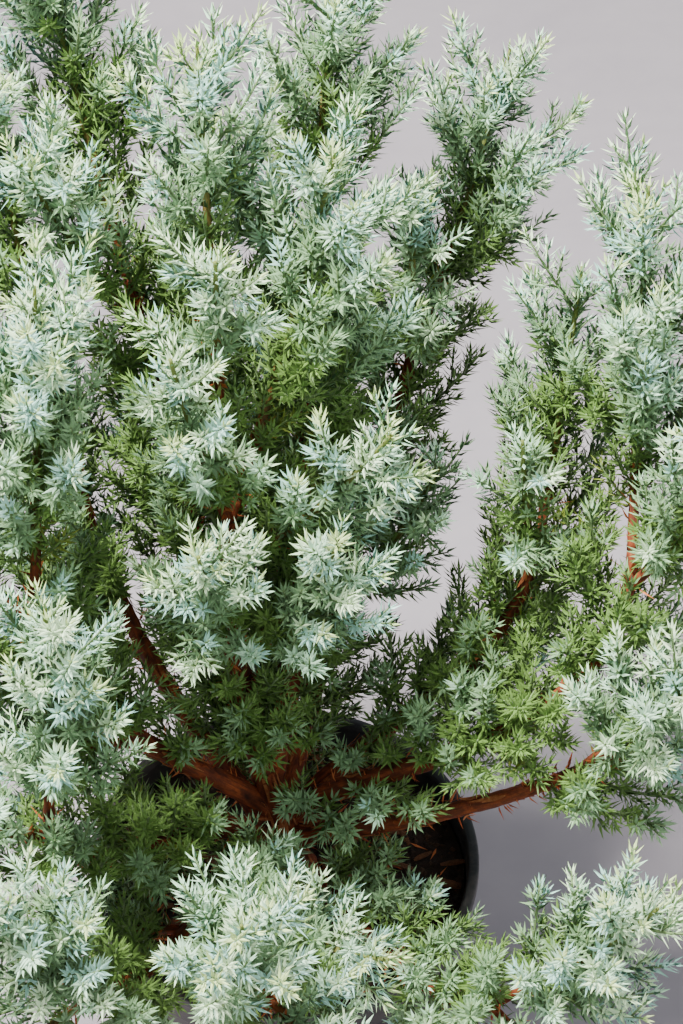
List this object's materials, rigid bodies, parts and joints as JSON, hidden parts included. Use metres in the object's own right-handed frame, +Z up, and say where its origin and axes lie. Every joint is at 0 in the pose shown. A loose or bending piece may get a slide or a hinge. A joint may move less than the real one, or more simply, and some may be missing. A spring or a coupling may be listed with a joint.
{
  "type": "potted juniper shrub",
  "caption": "Open, unclipped needle juniper with spreading boughs that rise from a short trunk, in a plain round nursery pot.",
  "frame": {"origin": "centre of the pot's flat underside", "axes": "+Z up, the picture looks along +Y and down, +X to its right"},
  "size_m": [0.3307, 0.3604, 0.4362],
  "materials": {
    "pot": "thin black nursery plastic, slightly dusty",
    "compost": "dark crumbly potting compost with bits of bark",
    "bark": "red-brown papery bark with dry old needles",
    "foliage": "sharp needles, silver blue on the upper side and green below, yellow-green at the shoot tips"
  },
  "bodies": {
    "root": {"pot": "pot", "compost": "compost", "trunk": "bark", "bough_leader": "bark", "bough_upper": "bark", "bough_back_left": "bark", "bough_back_middle": "bark", "bough_back_right": "bark", "bough_right_back": "bark", "bough_right": "bark", "bough_right_front": "bark", "bough_front_right": "bark", "bough_front": "bark", "bough_front_left": "bark", "bough_left_front": "bark", "bough_left": "bark", "bough_left_back": "bark", "bough_back": "bark", "foliage_leader_tip": "foliage", "foliage_upper_tip": "foliage", "foliage_back_left_tip": "foliage", "foliage_back_middle_tip": "foliage", "foliage_back_right_tip": "foliage", "foliage_right_back_tip": "foliage", "foliage_right_tip": "foliage", "foliage_right_front_tip": "foliage", "foliage_front_right_tip": "foliage", "foliage_front_tip": "foliage", "foliage_front_left_tip": "foliage", "foliage_left_front_tip": "foliage", "foliage_left_tip": "foliage", "foliage_left_back_tip": "foliage", "foliage_back_tip": "foliage", "foliage_leader_1": "foliage", "foliage_upper_1": "foliage", "foliage_back_left_1": "foliage", "foliage_back_middle_1": "foliage", "foliage_back_right_1": "foliage", "foliage_right_back_1": "foliage", "foliage_right_1": "foliage", "foliage_right_front_1": "foliage", "foliage_front_right_1": "foliage", "foliage_front_1": "foliage", "foliage_front_left_1": "foliage", "foliage_left_front_1": "foliage", "foliage_left_1": "foliage", "foliage_left_back_1": "foliage", "foliage_back_1": "foliage", "foliage_leader_2": "foliage", "foliage_back_left_2": "foliage", "foliage_back_right_2": "foliage", "foliage_right_back_2": "foliage", "foliage_front_2": "foliage", "foliage_front_left_2": "foliage", "foliage_left_2": "foliage", "foliage_left_back_2": "foliage", "foliage_leader_3": "foliage", "foliage_back_left_3": "foliage", "foliage_back_right_3": "foliage", "foliage_leader_4": "foliage"}
  },
  "joints": []
}
